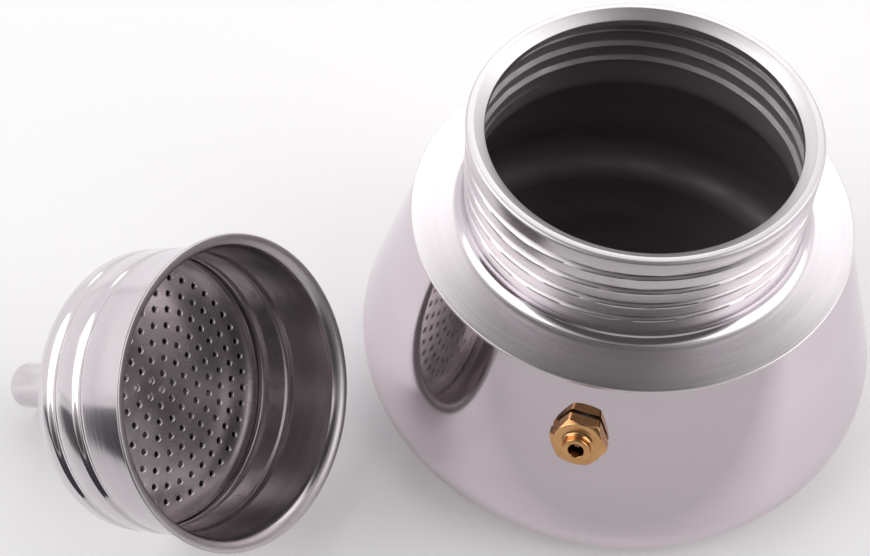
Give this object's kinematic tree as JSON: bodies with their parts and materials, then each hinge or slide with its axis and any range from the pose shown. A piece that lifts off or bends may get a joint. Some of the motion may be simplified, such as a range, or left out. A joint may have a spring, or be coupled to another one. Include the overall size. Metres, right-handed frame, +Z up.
{
  "type": "moka pot boiler with funnel filter",
  "caption": "Steel stovetop coffee boiler with threaded neck and brass safety valve, and its loose perforated funnel filter lying beside it.",
  "frame": {"origin": "boiler axis on the base plane that it stands on", "axes": "+Z up along the boiler axis, +X to the right seen from the valve's side, the funnel lies towards -X, the valve looks towards -Y"},
  "size_m": [0.1876, 0.1225, 0.0714],
  "materials": {
    "mirror_steel": "mirror polished outside, dark matte inside",
    "brushed_collar": "turned and brushed, polished fillet",
    "satin_steel": "satin",
    "disc_aluminium": "rolled",
    "valve_brass": "turned",
    "valve_seal": "matt fibre ring",
    "spring_steel": "bright wire",
    "funnel_steel": "spun, polished outside, satin inside",
    "plate_steel": "rolled sheet, punched"
  },
  "bodies": {
    "boiler": {"boiler_bell": "mirror_steel", "neck_collar": "brushed_collar", "shoulder_weld": "satin_steel", "heat_disc": "disc_aluminium", "base_cap": "satin_steel", "valve_body": "valve_brass", "valve_outer_washer": "valve_seal", "valve_inner_washer": "valve_seal", "valve_lock_nut": "valve_brass", "valve_seat_plug": "valve_brass", "valve_spring": "spring_steel"},
    "poppet": {"valve_poppet": "spring_steel"},
    "funnel": {"funnel_cup": "funnel_steel", "filter_plate": "plate_steel", "spout_tube": "funnel_steel", "spout_weld": "satin_steel"}
  },
  "joints": [
    {"name": "funnel_lift", "type": "slide", "parent": "boiler", "child": "funnel", "axis": [0, 0, 1], "range_m": [0, 0.12]},
    {"name": "poppet_slide", "type": "slide", "parent": "boiler", "child": "poppet", "axis": [-0.2431, -0.9199, 0.3076], "range_m": [0, 0.0012], "stiffness_N_per_m": 900, "springref_m": -0.002, "deforming": ["valve_spring"]}
  ]
}
